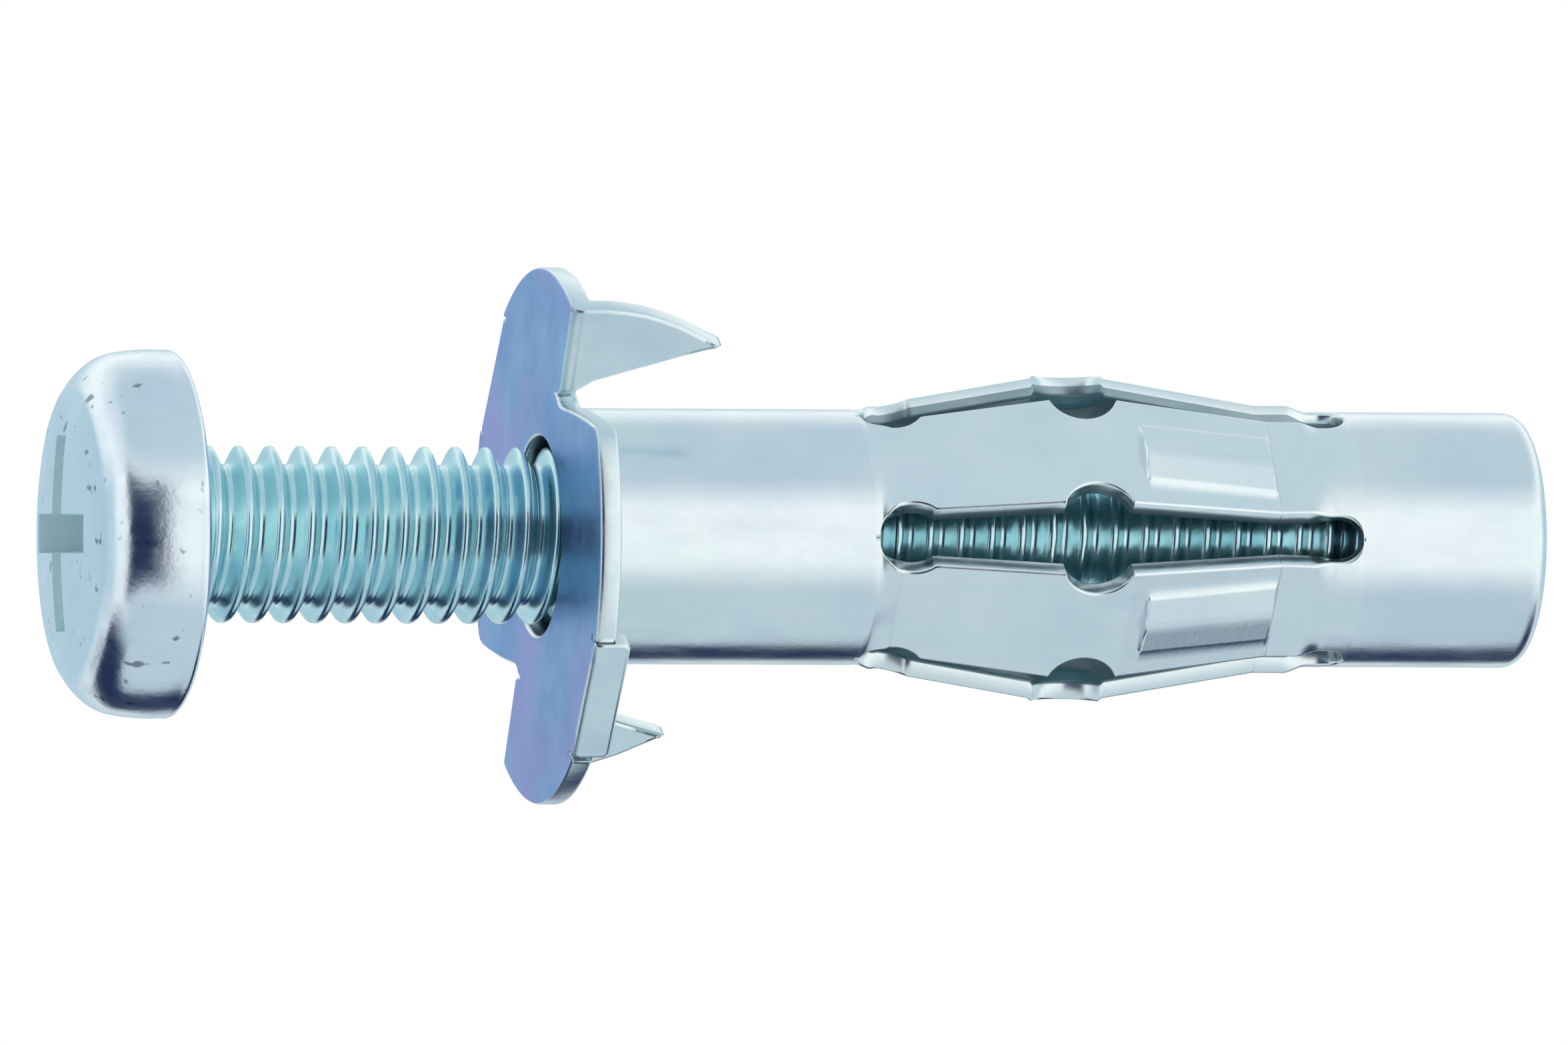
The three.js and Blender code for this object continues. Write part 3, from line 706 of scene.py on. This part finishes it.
for cutter in recess_cutter():
    mod = head.modifiers.new("cut", "BOOLEAN")
    mod.operation, mod.solver, mod.object = "DIFFERENCE", "EXACT", cutter
    bpy.context.view_layer.update()
    dg = bpy.context.evaluated_depsgraph_get()
    me = bpy.data.meshes.new_from_object(head.evaluated_get(dg))
    head.modifiers.clear()
    head.data = me
    bpy.data.objects.remove(cutter)
head.data.materials.clear()
head.data.materials.append(M_HEAD)
head.data.materials.append(M_RECESS)
for f in head.data.polygons:
    c = f.center / MM
    f.material_index = 1 if c.x > -11.0 and c.x < -9.0 and c.yz.length < 2.35 or (c.yz.length < 2.3 and abs(f.normal.x) < 0.5) else 0
head.data.polygons.foreach_set("use_smooth", [True] * len(head.data.polygons))
head.data.set_sharp_from_angle(angle=math.radians(38))
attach(head, "screw")


# ---------- floor, light and camera ----------
def stage_material():
    m = bpy.data.materials.new("floor_pale")
    m.use_nodes = True
    b = m.node_tree.nodes["Principled BSDF"]
    b.inputs["Base Color"].default_value = (0.9, 0.9, 0.9, 1)
    b.inputs["Roughness"].default_value = 0.9
    return m


fm = bpy.data.meshes.new("floor")
fm.from_pydata([(-1, -1, -0.06), (1, -1, -0.06), (1, 1, -0.06), (-1, 1, -0.06)], [], [(0, 1, 2, 3)])
fm.materials.append(stage_material())
floor = bpy.data.objects.new("floor", fm)
bpy.context.scene.collection.objects.link(floor)
floor.visible_glossy = False


def world():
    w = bpy.data.worlds.new("studio")
    bpy.context.scene.world = w
    w.use_nodes = True
    nt = w.node_tree
    nt.nodes.clear()
    new, link = nt.nodes.new, nt.links.new
    out = new("ShaderNodeOutputWorld")
    tc = new("ShaderNodeTexCoord")
    sep = new("ShaderNodeSeparateXYZ")
    link(tc.outputs["Generated"], sep.inputs[0])

    def math_(op, a, b=None, c=None):
        n = new("ShaderNodeMath")
        n.operation = op
        for i, v in enumerate((a, b, c)):
            if v is None:
                continue
            if isinstance(v, (int, float)):
                n.inputs[i].default_value = v
            else:
                link(v, n.inputs[i])
        return n.outputs[0]

    def band(v, a, b, c=0.0, d=1.0):
        n = new("ShaderNodeMapRange")
        n.interpolation_type = "SMOOTHSTEP"
        link(v, n.inputs["Value"])
        n.inputs["From Min"].default_value, n.inputs["From Max"].default_value = a, b
        n.inputs["To Min"].default_value, n.inputs["To Max"].default_value = c, d
        return n.outputs[0]

    def ramp(fac, stops):
        r = new("ShaderNodeValToRGB")
        r.color_ramp.interpolation = "EASE"
        els = r.color_ramp.elements
        els[0].position, els[0].color = stops[0][0], (*stops[0][1], 1)
        els[1].position, els[1].color = stops[-1][0], (*stops[-1][1], 1)
        for p, c in stops[1:-1]:
            els.new(p).color = (*c, 1)
        link(fac, r.inputs[0])
        return r.outputs[0]

    def mix(fac, a, b):
        x = new("ShaderNodeMix")
        x.data_type = "RGBA"
        link(fac, x.inputs[0])
        for s, v in ((x.inputs[6], a), (x.inputs[7], b)):
            if isinstance(v, tuple):
                s.default_value = (*v, 1)
            else:
                link(v, s)
        return x.outputs[2]

    X, Y, Z = sep.outputs[0], sep.outputs[1], sep.outputs[2]
    up = math_("MULTIPLY_ADD", Z, 0.5, 0.5)  # 0 straight down, 1 straight up
    white, soft, blue, navy = (1.12, 1.12, 1.10), (0.86, 0.90, 0.93), (0.62, 0.72, 0.78), (0.02, 0.035, 0.09)
    sky = (0.55, 0.70, 0.78)
    front = ramp(up, [(0.0, blue), (0.13, blue), (0.22, soft), (0.31, white), (0.72, white), (0.80, soft), (0.88, blue), (1.0, blue)])
    back = ramp(up, [(0.0, blue), (0.05, blue), (0.075, navy), (0.225, navy), (0.265, soft), (0.4, sky), (0.6, sky), (0.75, white), (0.86, soft), (0.93, blue)])
    env = mix(band(Y, -0.2, 0.2), front, back)
    # dark side of the camera, seen only where a surface faces it squarely
    # sideways from the lens axis
    az = math_("ADD", math_("MULTIPLY", X, 0.970), math_("MULTIPLY", Y, -0.242))
    side = math_("SUBTRACT", 1.0, band(math_("ABSOLUTE", math_("ADD", az, 0.24)), 0.44, 0.56))
    high = math_("SUBTRACT", 1.0, band(math_("ABSOLUTE", Z), 0.42, 0.62))
    near = band(math_("MULTIPLY", Y, -1.0), 0.1, 0.3)
    card = math_("MULTIPLY", math_("MULTIPLY", side, high), near)
    env = mix(card, env, navy)
    bg = new("ShaderNodeBackground")
    link(env, bg.inputs[0])
    bg.inputs[1].default_value = 1.0
    plain = new("ShaderNodeBackground")
    plain.inputs[0].default_value = (1, 1, 1, 1)
    plain.inputs[1].default_value = 1.0
    lp = new("ShaderNodeLightPath")
    ms = new("ShaderNodeMixShader")
    link(lp.outputs["Is Camera Ray"], ms.inputs[0])
    link(bg.outputs[0], ms.inputs[1])
    link(plain.outputs[0], ms.inputs[2])
    link(ms.outputs[0], out.inputs[0])


world()
scene = bpy.context.scene
scene.view_settings.view_transform = "Standard"
scene.view_settings.look = "None"

light = bpy.data.lights.new("key", "AREA")
light.energy = 1.2
light.size = 0.5
key = bpy.data.objects.new("key", light)
key.location = (0.25, -0.6, 0.75)
key.rotation_euler = (Vector((0, 0, 0)) - Vector(key.location)).to_track_quat("-Z", "Y").to_euler()
key.visible_camera = False
key.visible_glossy = False
scene.collection.objects.link(key)

AZ = math.radians(-14.0)
PX_MM = 68.0
D = 1.0
cam_data = bpy.data.cameras.new("camera")
cam_data.sensor_width = 36
cam_data.lens = 36 * D * 1000 / (2352 / PX_MM)
cam_data.clip_start, cam_data.clip_end = 0.05, 50
cam = bpy.data.objects.new("camera", cam_data)
target = Vector((5.109 * MM, 0, 0.32 * MM))
back = Vector((math.sin(AZ), -math.cos(AZ), 0))
cam.location = target + back * D
q = (-back).to_track_quat("-Z", "Y")
from mathutils import Quaternion

cam.rotation_mode = "QUATERNION"
cam.rotation_quaternion = q @ Quaternion((0, 0, 1), math.radians(0.28))
scene.collection.objects.link(cam)
scene.camera = cam
